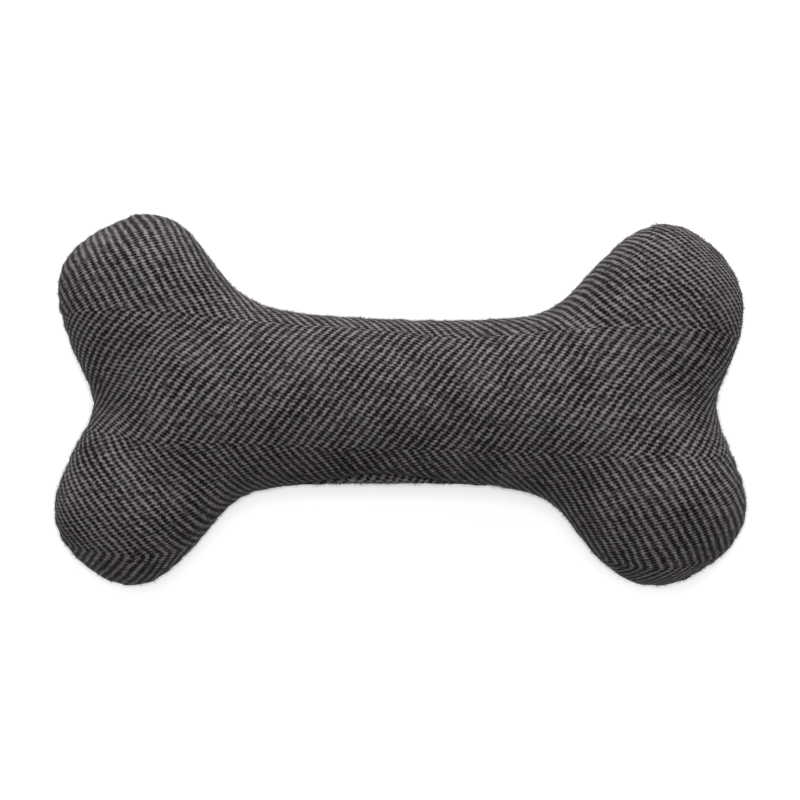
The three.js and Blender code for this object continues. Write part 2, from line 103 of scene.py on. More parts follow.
KNOB_CORNER = {"upper_left": 70, "upper_right": 78, "lower_left": 78, "lower_right": 82}
KNOB_THREE_SIDED = {"upper_left": 0, "upper_right": 0.8, "lower_left": 0.4, "lower_right": -0.4}
KNOB_POINT = np.radians(-16)
KNOB_OVALNESS = {"upper_left": 0.8, "upper_right": 0.6, "lower_left": 0.4, "lower_right": 0.4}
KNOB_LONG_WAY = np.radians(45)
KNOB_RIM = (0.55, 1.05)
KNOB_RIM_END = (1.2, 2)
FIELD_STEP = 0.01
WAVE_SINES = 3
WAVE_EASE = 1.5

squeaker_low, squeaker_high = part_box("squeaker_bladder")
bone_shift = np.array([
    (squeaker_low.x + squeaker_high.x) / 2 / MM - SQUEAKER_X,
    (squeaker_low.y + squeaker_high.y) / 2 / MM,
    lying_height,
])


def along_shaft(ends, x):
    """A value that runs evenly from its left figure to its right one over the length of the shaft."""
    share = np.clip((x / SHAFT_HALF_LENGTH + 1) / 2, 0, 1)
    return ends[0] + (ends[1] - ends[0]) * share


def bone_field(x, y, z):
    """Distance to the skin, negative inside: minus the blend times the log of the sum, over knobs and
    shaft, of e to minus each one's own distance over the blend. Heights count as if it were round."""
    half_width = along_shaft(SHAFT_HALF_WIDTH, x)
    height = z * 2 * half_width / along_shaft(SHAFT_THICKNESS, x)
    past_end = np.maximum(np.abs(x) - SHAFT_HALF_LENGTH, 0)
    across = y - along_shaft(SHAFT_CENTRE_Y, x)
    shaft = np.sqrt(across**2 + past_end**2 + height**2) - half_width
    total = np.exp(-shaft / WAIST_BLEND)
    for knob_x, knob_y, radius in KNOBS.values():
        knob = np.sqrt((x - knob_x) ** 2 + (y - knob_y) ** 2 + height**2) - radius
        total = total + np.exp(-knob / WAIST_BLEND)
    return -WAIST_BLEND * np.log(total)


def placed(points):
    """Points about the bone's middle plane, moved to where it lies. Each knob comes out a little oval,
    three-sided and square: out from its middle by its ovalness times the cosine of twice the angle from
    its long way, and so on for three times and four times the angle from a point and a corner. Angles
    count from the shaft over the knob's far side, and the push is less and less away from its rim."""
    moved = points + bone_shift
    for name, (knob_x, knob_y, radius) in KNOBS.items():
        off_x = points[..., 0] - knob_x
        off_y = points[..., 1] - knob_y
        reach = np.hypot(off_x, off_y) + 1e-9
        angle = np.arctan2(np.sign(knob_y) * off_y, -np.sign(knob_x) * off_x)
        share = reach / radius
        rim = smooth_step(share, *KNOB_RIM) * (1 - smooth_step(share, *KNOB_RIM_END))
        push = KNOB_OVALNESS[name] * np.cos(2 * (angle - KNOB_LONG_WAY))
        push += KNOB_THREE_SIDED[name] * np.cos(3 * (angle - KNOB_POINT))
        push += KNOB_SQUARENESS[name] * np.cos(4 * (angle - np.radians(KNOB_CORNER[name])))
        moved[..., 0] += off_x * push * rim / reach
        moved[..., 1] += off_y * push * rim / reach
    return moved


def crossing(test, shape):
    """The distance at which a test that starts negative crosses zero, by halving, for a whole array."""
    low = np.zeros(shape)
    high = np.full(shape, float(FIELD_REACH))
    for _ in range(HALVINGS):
        middle = (low + high) / 2
        negative = test(middle) < 0
        low = np.where(negative, middle, low)
        high = np.where(negative, high, middle)
    return (low + high) / 2


def skin_points(foot, angle, rise, depth, z=0):
    """Points where rays from feet on the spine, or at a height over it, meet the surface some depth under
    the skin: a ray goes out level at an angle, times the cosine of its rise, and up by the sine of it."""
    run_x = np.cos(angle) * np.cos(rise)
    run_y = np.sin(angle) * np.cos(rise)
    run_z = np.sin(rise)
    shape = np.broadcast(foot, run_x, run_z, z).shape
    reach = crossing(lambda t: bone_field(foot + run_x * t, run_y * t, z + run_z * t) + depth, shape)
    return np.stack([foot + run_x * reach, run_y * reach, z + run_z * reach], axis=-1)


def level_points(foot, angle, z, depth):
    """Points of that surface straight out from the feet at a given height."""
    return skin_points(foot, angle, 0, depth, z)


def skin_normals(points):
    """Directions straight out of the skin: the field's slopes by small steps, made one long."""
    x, y, z = np.moveaxis(points, -1, 0)
    slopes = np.stack([
        bone_field(x + FIELD_STEP, y, z) - bone_field(x - FIELD_STEP, y, z),
        bone_field(x, y + FIELD_STEP, z) - bone_field(x, y - FIELD_STEP, z),
        bone_field(x, y, z + FIELD_STEP) - bone_field(x, y, z - FIELD_STEP),
    ], axis=-1)
    return slopes / np.linalg.norm(slopes, axis=-1, keepdims=True)


def lengths_along(points):
    """Length walked from the first point of each row to each of its points."""
    steps = np.linalg.norm(np.diff(points, axis=-2), axis=-1)
    return np.concatenate([np.zeros(steps.shape[:-1] + (1,)), np.cumsum(steps, axis=-1)], axis=-1)


def at_shares(walked, values, shares):
    """For each row, the value found at these shares of its whole length."""
    rows = np.arange(len(walked))[:, None] * 2.0
    scaled = walked / walked[:, -1:] + rows
    wanted = np.broadcast_to(shares, (len(walked), len(shares))) + rows
    return np.interp(wanted.ravel(), scaled.ravel(), values.ravel()).reshape(wanted.shape)


def waves(places, lengths, seed):
    """A smooth wandering value about 0, mostly within 1: for each wave length, three sines that run in
    drawn directions and start at drawn places, added up and eased to that size."""
    draws = np.random.default_rng(seed)
    total = 0
    for length in lengths:
        for _ in range(WAVE_SINES):
            direction = draws.normal(size=places.shape[-1])
            direction /= np.linalg.norm(direction)
            total = total + np.sin(places @ direction * 2 * np.pi / length + draws.uniform(0, 2 * np.pi))
    return total / (WAVE_SINES / 2 * len(lengths)) ** 0.5 / WAVE_EASE


def smooth_step(value, low, high):
    """0 below low, 1 above high, and an even curve between them."""
    share = np.clip((value - low) / (high - low), 0, 1)
    return share * share * (3 - 2 * share)


# Cover
# Two panels of heavy herringbone tweed, sewn face to face and turned, with their edges folded in along
# the seam. On the lower side of the shaft the seam is drawn up where it was closed by hand.
CLOTH = 1.5
SEAM_ALLOWANCE = 4.5
CLOSING_MIDDLE_X = -7
CLOSING_HALF_LENGTH = 26
CLOSING_RISE = 8
SIDE_STATIONS = 150
END_STATIONS = 220
FAN_STEPS = 20 * END_STATIONS
FINE_STEPS = 160
OUTER_ROWS = 96
INNER_ROWS = 22
SEAM_PINCH = 0.8
SEAM_PINCH_WIDTH = 1.5
CLOSING_PINCH = 2.6
CLOSING_PINCH_WIDTH = 2.2
THIN_CLOTH = 0.3
CLOSING_PUFF = 1
CLOSING_PUFF_PLACE = 7
CLOSING_PUFF_WIDTH = 3.5
CLOSING_LIP = 2.6
CLOSING_LIP_PLACE = 3.8
CLOSING_LIP_WIDTH = 2.4
# Painted shade on the front's cloth beside the closing: how dark it is, and how far from the seam it
# reaches
CLOSING_PAINTED_SHADE = 0.6
CLOSING_PAINTED_SHADE_REACH = 11
PUCKER = 0.22
PUCKER_REACH = 10
PUCKER_LENGTHS = (4.3, 6.1, 9.7)
PUCKER_SEED = 5
LUMP = 0.35
LUMP_LENGTHS = (23, 31, 44)
LUMP_REACH = 22
LUMP_SEED = 8
FOLDED_SHARE = 0.1
WELD = 1e-4
THREAD_ACROSS = 0.772
BAND_THREADS = 44
LOWER_BAND_THREADS = 41
BAND_WIDTH = 42.5
SHAFT_BAND_STRETCH = 2.4
SHAFT_BAND_RISE = -0.2
SHAFT_BAND_LENGTH = 60
BAND_MIDDLE = 5.8
BAND_LEAN = -0.03
KNOB_BOW_START = 80
KNOB_BOW_TURN = 15
LEFT_BOW = (0.0008, 0.0026)
RIGHT_BOW = (0.003, 0.0024)
END_STRETCH = (-2, 3.5)
END_STRETCH_ALONG = (62, 100)


def stations():
    """Places round the bone as (foot along the spine, angle out): even steps along each side, and a fan
    round each end that takes even steps along the outline there."""
    side = SPINE_HALF_LENGTH * (1 - 2 * np.arange(SIDE_STATIONS) / SIDE_STATIONS)
    fan = np.linspace(-np.pi / 2, np.pi / 2, FAN_STEPS + 1)
    feet, angles = [], []
    for end, turn in ((-1, np.pi / 2), (1, -np.pi / 2)):
        feet.append(-end * side)
        angles.append(np.full(SIDE_STATIONS, turn))
        swept = fan + (np.pi if end < 0 else 0)
        walked = lengths_along(skin_points(end * SPINE_HALF_LENGTH, swept, 0 * swept, 0))
        even = walked[-1] * np.arange(END_STATIONS) / END_STATIONS
        feet.append(np.full(END_STATIONS, end * SPINE_HALF_LENGTH))
        angles.append(np.interp(even, walked, swept))
    return np.concatenate(feet), np.concatenate(angles)


def closing_share(foot, angle):
    """How far a station is from the middle of the closing, in half lengths of it; endless elsewhere."""
    lower = (np.abs(foot) < SPINE_HALF_LENGTH) & (np.sin(angle) < 0)
    return np.where(lower, np.abs(foot - CLOSING_MIDDLE_X) / CLOSING_HALF_LENGTH, np.inf)


def closing_grip(foot, angle):
    """1 along the closing and 0 away from it: e to minus the fourth power of its share."""
    return np.exp(-(closing_share(foot, angle) ** 4))


def bell(off, width):
    """1 in the middle and less to both sides: e to minus the square of how many widths off it is."""
    return np.exp(-((off / width) ** 2))


def seam_height(foot, angle):
    """Height of the seam over the middle plane: a bell along the closing, the cosine to the fourth."""
    share = np.minimum(closing_share(foot, angle) / 2, 1)
    return CLOSING_RISE * np.cos(share * np.pi / 2) ** 4


def mesh_piece(name, points, quads, maps=()):
    """An object of a closed surface: points that coincide are one vertex, and a quad that loses a corner
    so is a triangle. Each map is (name, a flat place for each point)."""
    keys = np.round(points / WELD).astype(np.int64)
    _, first, place = np.unique(keys, axis=0, return_index=True, return_inverse=True)
    faces = place.ravel()[quads]
    whole = (faces != np.roll(faces, 1, axis=1)).all(axis=1)
    cut = [list(dict.fromkeys(face)) for face in faces[~whole].tolist()]
    mesh = bpy.data.meshes.new(name)
    mesh.from_pydata(points[first] * MM, [], faces[whole].tolist() + [f for f in cut if len(f) == 3])
    mesh.polygons.foreach_set("use_smooth", np.ones(len(mesh.polygons), bool))
    corners = np.empty(len(mesh.loops), np.int32)
    mesh.loops.foreach_get("vertex_index", corners)
    for map_name, flat in maps:
        layer = mesh.uv_layers.new(name=map_name)
        layer.data.foreach_set("uv", flat[first][corners].astype(np.float32).ravel())
    mesh.update()
    return put_in_scene(name, mesh)


def ring_quads(ring_count, rows_count):
    """Corner numbers of the faces between rows of points that follow one another round in a ring."""
    here = np.arange(ring_count)[:, None] * rows_count
    ahead = (np.arange(ring_count)[:, None] + 1) % ring_count * rows_count
    row = np.arange(rows_count - 1)[None]
    return np.stack([here + row, ahead + row, ahead + row + 1, here + row + 1], axis=-1).reshape(-1, 4)


def flat_cloth(foot, angle, arc):
    """Threads counted along and across to where a point lay on the cloth before it was sewn: out from
    its foot by the length along the skin from the crown. The knobs draw the cross threads into a bow,
    each knob its own, the ends stretch the cloth along, and the shaft stretches it across."""
    along = foot + np.cos(angle) * arc
    across = np.sin(angle) * arc
    upper = smooth_step(across, -KNOB_BOW_TURN, KNOB_BOW_TURN)
    left = LEFT_BOW[0] + (LEFT_BOW[1] - LEFT_BOW[0]) * upper
    right = RIGHT_BOW[0] + (RIGHT_BOW[1] - RIGHT_BOW[0]) * upper
    bow = np.where(along < 0, -left, right) * np.minimum(np.abs(along) / KNOB_BOW_START, 1) ** 2
    stretch = np.where(along < 0, *END_STRETCH) * smooth_step(np.abs(along), *END_STRETCH_ALONG)
    on_shaft = np.exp(-((along / SHAFT_BAND_LENGTH) ** 4))
    width = BAND_WIDTH + SHAFT_BAND_STRETCH * on_shaft
    middle = BAND_MIDDLE + BAND_LEAN * along + SHAFT_BAND_RISE * on_shaft
    along_threads = (along + bow * across**2 - stretch) / THREAD_ACROSS
    return along_threads, BAND_THREADS * ((across - middle) / width + 0.5)


def in_square(flat):
    """A flat layout moved and stretched to fill a square of side 1."""
    low = flat.min(axis=0)
    return (flat - low) / (flat.max(axis=0) - low)


def rows_to_crown(foot, angle, start_z, side, depth, count):
    """Points at each station from the crown down to a height, spaced evenly along the surface."""
    edge = level_points(foot, angle, start_z, depth)
    start = np.arctan2(edge[..., 2], np.hypot(edge[..., 0] - foot, edge[..., 1]))
    crown = side * np.pi / 2
    rises = crown + (start - crown) * np.linspace(0, 1, FINE_STEPS + 1)[None]
    walked = lengths_along(skin_points(foot, angle, rises, depth))
    rises = at_shares(walked, rises, np.linspace(0, 1, count + 1))
    return skin_points(foot, angle, rises, depth)


def cover_panel(name, side):
    """A panel as a closed shell: at each station a row runs from the outer crown down the skin to the
    seam, in along the folded edge, back, and up the inside. Near the seam the skin is drawn in. At the
    closing the front puffs out over it, and the back stands up in a lip. Shade is painted on the front's
    cloth beside the closing and a highlight on the back's lip, in a map of painted light. In the baking
    layout the folded cloth takes less room than it has. The outer skin is given back too."""
    foot, angle = (value[:, None] for value in stations())
    seam = seam_height(foot, angle)
    near = seam + side * SEAM_GAP / 2
    far = near + side * CLOTH

    outer = rows_to_crown(foot, angle, near, side, 0, OUTER_ROWS)
    arc = lengths_along(outer)
    to_seam = arc[:, -1:] - arc
    closing = closing_grip(foot, angle)

    def drawn_in(to_seam):
        plain = SEAM_PINCH * bell(to_seam, SEAM_PINCH_WIDTH)
        return plain + closing * CLOSING_PINCH * bell(to_seam, CLOSING_PINCH_WIDTH)

    pucker = PUCKER * waves(outer[:, -1:], PUCKER_LENGTHS, PUCKER_SEED)
    pucker = pucker * (1 - smooth_step(to_seam, 0, PUCKER_REACH))
    lump = LUMP * waves(outer[..., :2], LUMP_LENGTHS, LUMP_SEED + side)
    lump = lump * smooth_step(to_seam, 0, LUMP_REACH)
    outer = outer - skin_normals(outer) * (drawn_in(to_seam) + pucker + lump)[..., None]
    if side > 0:
        puff = closing * CLOSING_PUFF * bell(to_seam - CLOSING_PUFF_PLACE, CLOSING_PUFF_WIDTH)
        outer = outer + skin_normals(outer) * puff[..., None]
        # Painted shade on the front's cloth beside the closing
        painted_light_and_lip = -CLOSING_PAINTED_SHADE * closing * bell(to_seam, CLOSING_PAINTED_SHADE_REACH)
    else:
        # The lip's shape, which is also painted as a highlight on the back's cloth
        painted_light_and_lip = closing * bell(to_seam - CLOSING_LIP_PLACE, CLOSING_LIP_WIDTH)
        outer[..., 2] += CLOSING_LIP * painted_light_and_lip
        outer[..., 2] = np.maximum(outer[..., 2], -lying_height)

    raw_edge = level_points(foot, angle, seam, SEAM_ALLOWANCE)[..., :2]
    hem_near = np.concatenate([raw_edge, near[..., None]], axis=-1)
    hem_far = np.concatenate([raw_edge, far[..., None]], axis=-1)
    inner = rows_to_crown(foot, angle, far, side, CLOTH, INNER_ROWS)
    inner_walk = lengths_along(inner)
    squeezed = np.maximum(drawn_in(inner_walk[:, -1:] - inner_walk) + THIN_CLOTH - CLOTH, 0)
    inner = (inner - skin_normals(inner) * squeezed[..., None])[:, ::-1]
    rows = np.concatenate([outer, hem_near, hem_far, inner], axis=1)
    walked = lengths_along(rows)
    threads = np.stack(flat_cloth(foot, angle, walked), axis=-1).reshape(-1, 2)
    shown = np.minimum(walked, arc[:, -1:])
    laid = shown + (walked - shown) * FOLDED_SHARE
    layout = np.stack([foot + np.cos(angle) * laid, np.sin(angle) * laid], axis=-1).reshape(-1, 2)
    quads = ring_quads(*rows.shape[:2])
    if side > 0:
        quads = quads[:, ::-1]
    # The painted light and shade at the closing go to the tweed in a map of their own
    closing_painted_light = np.zeros(rows.shape[:2] + (2,))
    closing_painted_light[:, : OUTER_ROWS + 1, 0] = painted_light_and_lip
    maps = [("cloth", threads), ("OFBake", in_square(layout)), ("closing_painted_light", closing_painted_light.reshape(-1, 2))]
    return mesh_piece(name, placed(rows.reshape(-1, 3)), quads, maps), placed(outer)


class Value:
    """A socket of a material's nodes. Sums on it add Math nodes, and node() adds any other node."""

    def __init__(self, tree, socket=None):
        self.tree = tree
        self.socket = socket

    def node(self, kind, inputs=None, output=0, **settings):
        made = self.tree.nodes.new("ShaderNode" + kind)
        for key, setting in settings.items():
            setattr(made, key, setting)
        for key, value in (inputs or {}).items():
            self.feed(made.inputs[key], value)
        return Value(self.tree, made.outputs[output])

    def feed(self, socket, value):
        if isinstance(value, Value):
            self.tree.links.new(value.socket, socket)
        else:
            socket.default_value = value

    def beside(self, output):
        """Another output of the same node."""
        return Value(self.tree, self.socket.node.outputs[output])

    def sum(self, operation, *others):
        return self.node("Math", dict(enumerate((self, *others))), operation=operation)

    def __add__(self, other):
        return self.sum("ADD", other)

    __radd__ = __add__

    def __mul__(self, other):
        return self.sum("MULTIPLY", other)

    __rmul__ = __mul__

    def __sub__(self, other):
        return self.sum("SUBTRACT", other)

    def __rsub__(self, other):
        return self.node("Math", {0: other, 1: self}, operation="SUBTRACT")

    def __truediv__(self, other):
        return self.sum("DIVIDE", other)

    def __pow__(self, other):
        return self.sum("POWER", other)

    def between(self, low, high):
        """This value, held between two limits."""
        return self.sum("MAXIMUM", low).sum("MINIMUM", high)

    def ramp(self, low, high):
        """0 where this is below low, 1 above high, and an even curve between them."""
        inputs = {"Value": self, "From Min": low, "From Max": high}
        return self.node("MapRange", inputs, interpolation_type="SMOOTHSTEP")

    def mix(self, low, high):
        """Low where this is 0 and high where it is 1, for colours."""
        inputs = {"Factor": self, 6: low, 7: high}
        return self.node("Mix", inputs, output=2, data_type="RGBA", clamp_factor=True)

    def stretched(self, *scale):
        """This place, with each of its directions scaled."""
        return self.node("Mapping", {"Vector": self, "Scale": scale})

    def noise(self, scale, detail, **others):
        """Noise over this place."""
        return self.node("TexNoise", {"Vector": self, "Scale": scale, "Detail": detail, **others})


def new_finish(name, roughness, **constants):
    """A new material, a Value to add its nodes from, and its shader with what is the same all over."""
    material = bpy.data.materials.new(name)
    material.use_nodes = True
    shader = material.node_tree.nodes["Principled BSDF"]
    shader.inputs["Roughness"].default_value = roughness
    for key, value in constants.items():
        shader.inputs[key.replace("_", " ")].default_value = value
    return material, Value(material.node_tree), shader


def colour_and_relief(nodes, shader, colour, height, strength, depth):
    """Feeds a shader its colour, and a bump of a height, a strength and a depth in millimetres."""
    nodes.feed(shader.inputs["Base Color"], colour)
    relief = {"Height": height, "Strength": strength, "Distance": depth * MM}
    nodes.feed(shader.inputs["Normal"], nodes.node("Bump", relief))


BLACK_YARN = (0.0025, 0.0018, 0.0018, 1)
WARM_YARN = (0.272, 0.243, 0.242, 1)
COOL_YARN = (0.257, 0.243, 0.25, 1)
STRAY_FIBRE = (0.15, 0.138, 0.138, 1)
TONE_CURVE = 2.2
TONE_LIMITS = (0.04, 2.5)
RIB_HEIGHT = 0.82
STEP_HEIGHT = 0.5
CORNER_DEPTH = 0.2
FIBRE_TONE = 2.8
SPECK_TONE = 2
DYE_TONE = 1.3
WORN_TONE = 0.8
# How strongly the painted highlight on the back's lip and the painted shade beside it show in the tweed
CLOSING_PAINTED_LIGHT_TONE = 0.6
TIGHT_TONE = 0.08
TURN_BREAK = 2
TURN_DIP = 4
TURN_DIP_PLACE = 26
TURN_DIP_LENGTH = 36
SHAFT_THREADS = 80


def tweed():
    """Herringbone twill, two over and two under, from threads counted along and across the cloth. Light
    yarn lies in rows and floats over two dark threads in four, one thread further on in each row, and
    the slant turns back where a band ends, two threads on. A band ends some threads sooner along the
    top of the shaft, and below the lower turn. Its height is the cosine of the ribs, plus a smaller one
    of the steps that the rows make in a rib, less a fifth of the cosine of both together. The tone
    follows it, so that the dark yarn shows where it is low and shade is painted into the hollows
    between threads, with noise for fibres, for yarn of uneven dye and for worn places, a little less on
    the tight cloth of the shaft, a painted highlight on the back's lip at the closing and painted shade
    on the front's cloth beside it. Its power gives the colour."""
    material, nodes, shader = new_finish(
        "tweed", 0.95, Specular_IOR_Level=0.1, Sheen_Weight=0.08, Sheen_Roughness=0.3
    )
    cloth = nodes.node("UVMap", uv_map="cloth")
    wander = cloth.noise(0.1, 4, Roughness=0.6).beside(1)
    shift = nodes.node("VectorMath", {0: wander, 1: (0.5, 0.5, 0.5)}, operation="SUBTRACT")
    shifted = nodes.node("VectorMath", {0: shift, 1: (2, 2, 0), 2: cloth}, operation="MULTIPLY_ADD")
    along = nodes.node("SeparateXYZ", {0: shifted})
    across = along.beside(1)
    off_dip = (along - TURN_DIP_PLACE) / TURN_DIP_LENGTH
    dip = (off_dip * off_dip * -1).sum("EXPONENT") * TURN_DIP
    over = across - BAND_THREADS + dip
    turned_back = over.sum("GREATER_THAN", 0) + across.sum("LESS_THAN", 0)
    row = across.sum("MAXIMUM", 0).sum("PINGPONG", BAND_THREADS) - over.between(0, dip) * 2 - 0.5
    row = row + across.sum("MINIMUM", 0).sum("PINGPONG", LOWER_BAND_THREADS)
    column = along - turned_back * TURN_BREAK
    rib = (column - row) * (np.pi / 2)
    step = (column + row * 3) * (np.pi / 2)
    weave = rib.sum("COSINE") * RIB_HEIGHT + step.sum("COSINE") * STEP_HEIGHT
    weave = weave - (rib + step).sum("COSINE") * CORNER_DEPTH
    clear = cloth.noise(0.25, 2).ramp(0.3, 0.6)
    height = weave * (clear * 0.55 + 0.6)

    fibre = cloth.stretched(0.45, 0.8, 1).noise(1, 4, Roughness=0.7) - 0.5
    dye = shifted.stretched(0.07, 0.9, 1).noise(1, 2) - 0.5
    worn = cloth.noise(0.06, 3) - 0.5
    speck = cloth.noise(1.5, 1) - 0.5
    tight = ((along / SHAFT_THREADS) ** 4 * -1).sum("EXPONENT") * TIGHT_TONE
    # Painted light at the closing: a highlight painted on the back's lip, and shade painted on the
    # front's cloth beside it
    closing_painted_light = nodes.node("SeparateXYZ", {0: nodes.node("UVMap", uv_map="closing_painted_light")}) * CLOSING_PAINTED_LIGHT_TONE
    # The tone follows the weave's height: the dark yarn where it is low, and shade painted into the
    # hollows between threads
    tone = height + fibre * FIBRE_TONE + speck * SPECK_TONE + dye * DYE_TONE + worn * WORN_TONE
    tone = (tone + closing_painted_light - tight + 1).between(*TONE_LIMITS)
    pale = cloth.noise(0.15, 3).ramp(0.35, 0.65).mix(WARM_YARN, COOL_YARN)
    colour = ((tone / 2) ** TONE_CURVE).mix(BLACK_YARN, pale)
    hair = cloth.noise(0.8, 1, Distortion=2.5) - 0.5
    stray = (1 - hair.sum("ABSOLUTE") * 22).between(0, 1) * (worn * 1.5 + 0.15)
    colour_and_relief(nodes, shader, stray.mix(colour, STRAY_FIBRE), height + fibre, 0.5, 0.2)
    return material


NAP_FIBRES = 40000
NAP_LENGTH = (0.6, 2)
NAP_LEAN = (0.3, 1.35)
NAP_HALF_WIDTH = 0.055
NAP_ROOT = 0.1
NAP_SEED = 21
NAP_LIE = (0.3, 0.2, 1)


def nap(name, skin, side):
    """Stray wool fibres that stand out of a panel's skin, each a fine spike of three sides: at a drawn
    place on a drawn face, more often on a larger one, its tip a drawn length away, leaning by a drawn
    angle from straight out in a drawn direction. Its root is a little under the skin, none goes through
    the floor, and each has a cell of its own in the baking layout."""
    draws = np.random.default_rng(NAP_SEED + side)
    ahead = np.roll(skin, -1, axis=0)
    corners = np.stack([skin[:, :-1], ahead[:, :-1], ahead[:, 1:], skin[:, 1:]], axis=2)
    corners = corners.reshape(-1, 4, 3)
    across_face = np.cross(corners[:, 2] - corners[:, 0], corners[:, 3] - corners[:, 1])
    area = np.linalg.norm(across_face, axis=1)
    chosen = draws.choice(len(area), NAP_FIBRES, p=area / area.sum())
    u, v, turn = draws.uniform(size=(3, NAP_FIBRES, 1))
    face = corners[chosen]
    first_edge = face[:, 0] * (1 - u) + face[:, 1] * u
    last_edge = face[:, 3] * (1 - u) + face[:, 2] * u
    root = first_edge * (1 - v) + last_edge * v
    out = -side * across_face[chosen] / area[chosen, None]
    level = np.cross(out, NAP_LIE)
    level /= np.linalg.norm(level, axis=1, keepdims=True)
    beside = np.cross(out, level)
    length = draws.uniform(*NAP_LENGTH, (NAP_FIBRES, 1))
    lean = draws.uniform(*NAP_LEAN, (NAP_FIBRES, 1))

    def around(angle):
        return np.cos(angle) * level + np.sin(angle) * beside

    tip = root + length * (np.cos(lean) * out + np.sin(lean) * around(2 * np.pi * turn))
    foot_turns = [2 * np.pi * (turn + n / 3) for n in range(3)]
    feet = [root - NAP_ROOT * out + NAP_HALF_WIDTH * around(angle) for angle in foot_turns]
    points = np.stack([*feet, tip], axis=1)
    points[..., 2] = np.maximum(points[..., 2], NAP_HALF_WIDTH * np.array([1, 1, 1, 2]))
    first = 4 * np.arange(NAP_FIBRES)[:, None, None]
    faces = (first + np.array([(2, 1, 0), (0, 1, 3), (1, 2, 3), (2, 0, 3)])).reshape(-1, 3)
    mesh = bpy.data.meshes.new(name)
    mesh.from_pydata(points.reshape(-1, 3) * MM, [], faces.tolist())
    cells = int(np.ceil(NAP_FIBRES**0.5))
    cell = np.stack(np.divmod(np.arange(NAP_FIBRES), cells), axis=-1)[:, None]
    spread = np.array([(0.1, 0.1), (0.9, 0.1), (0.5, 0.9), (0.5, 0.4)])
    layer = mesh.uv_layers.new(name="OFBake")
    layer.data.foreach_set("uv", ((cell + spread) / cells).reshape(-1, 2)[faces.ravel()].ravel())
    mesh.update()
    return put_in_scene(name, mesh)


DARK_FIBRE = (0.012, 0.01, 0.009, 1)
PALE_FIBRE = (0.2, 0.178, 0.172, 1)


def stray_wool():
    """Single wool fibres, some of the pale yarn and some of the dark, by noise finer than their gaps."""
    material, nodes, shader = new_finish("stray_wool", 0.8, Specular_IOR_Level=0.2)
    place = nodes.node("TexCoord", output=3)
    yarn = place.noise(1800, 1).ramp(0.5, 0.75)
    nodes.feed(shader.inputs["Base Color"], yarn.mix(DARK_FIBRE, PALE_FIBRE))
    return material


tweed_finish = tweed()
stray_finish = stray_wool()
front_cover, front_skin = cover_panel("front_cover", 1)
back_cover, back_skin = cover_panel("back_cover", -1)
front_nap = nap("front_nap", front_skin, 1)
back_nap = nap("back_nap", back_skin, -1)
for fuzz in (front_nap, back_nap):
    fuzz.data.materials.append(stray_finish)
for cover, node in ((front_cover, "front_panel"), (back_cover, "back_panel")):
    cover.data.materials.append(tweed_finish)
    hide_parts(node)
for cloth in (front_cover, front_nap):
    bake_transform(cloth)
for cloth in (back_cover, back_nap):
    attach(cloth, "toy")

# Seam thread
# Two dark polyester threads, twisted from two plies, lock the panels together: one lies on the front
# panel's turned edge and one on the back panel's, right round from one end of the closing to the other.
SEAM_THREAD = 0.5
STITCH_INSET = 1
CLOSING_INSET = 0.6
THREAD_GAP = 0.3
STITCH_LENGTH = 3
STITCH_DIP = 0.12
THREAD_SIDES = 10
THREAD_STEP = 0.6
PLY_TWIST = 2.2
PLY_ROUNDNESS = 6
PLY_FIBRES = 8
DARK_THREAD = (0.012, 0.011, 0.011, 1)
DARK_THREAD_FIBRE = (0.05, 0.047, 0.047, 1)
CLOSING_THREAD = 0.6

seam_thread_height = SEAM_GAP / 2 + CLOTH + THREAD_GAP + SEAM_THREAD / 2
closing_thread_height = SEAM_GAP / 2 + CLOTH + THREAD_GAP + CLOSING_THREAD / 2
seam_groove_height = SEAM_GAP / 2 + CLOTH + 2 * THREAD_GAP + max(SEAM_THREAD, CLOSING_THREAD)


def stitch_points(foot, angle, lift):
    """The middle of the stitching at stations, some height over the seam, far enough in under the skin
    on both sides of the seam."""
    seam = seam_height(foot, angle)
    grip = closing_grip(foot, angle)
    reach = FIELD_REACH
    for height in (seam - seam_groove_height, seam + seam_groove_height):
        edge = level_points(foot, angle, height, CLOTH + STITCH_INSET + CLOSING_INSET * grip)
        reach = np.minimum(reach, np.hypot(edge[..., 0] - foot, edge[..., 1]))
    return np.stack([foot + np.cos(angle) * reach, np.sin(angle) * reach, seam + lift], axis=-1)


def even_path(path, step):
    """Points an even step apart along straight runs between the points of a path."""
    walked = lengths_along(path)
    wanted = np.linspace(0, walked[-1], int(walked[-1] / step) + 1)
    return np.stack([np.interp(wanted, walked, path[:, axis]) for axis in range(3)], axis=-1), wanted


def turns(count):
    """Angles of even steps round a circle, one to a row."""
    return 2 * np.pi * np.arange(count)[:, None] / count


def twisted_thread(name, path, walked, diameter, beside):
    """A two-ply thread as a tube along a path: its radius at each turn is full on the plies and less, by
    a cosine, in the two hollows between them, which go round once each twist. Its ends are points."""
    ahead = np.gradient(path, axis=0)
    ahead /= np.linalg.norm(ahead, axis=1, keepdims=True)
    out = np.cross(ahead, beside)
    out /= np.linalg.norm(out, axis=1, keepdims=True)
    up = np.cross(ahead, out)
    turn = turns(THREAD_SIDES)
    lobes = 1 - np.cos(2 * turn - 2 * np.pi * walked[None] / PLY_TWIST) / PLY_ROUNDNESS
    radius = diameter / 2 * lobes / (1 + 1 / PLY_ROUNDNESS)
    radius[:, [0, -1]] = 0
    points = path + radius[..., None] * (np.cos(turn)[..., None] * out + np.sin(turn)[..., None] * up)
    flat = np.stack([turn / (2 * np.pi) + 0 * radius, walked[None] + 0 * radius], axis=-1)
    quads = ring_quads(*radius.shape)
    return mesh_piece(name, placed(points.reshape(-1, 3)), quads, [("ply", flat.reshape(-1, 2))])


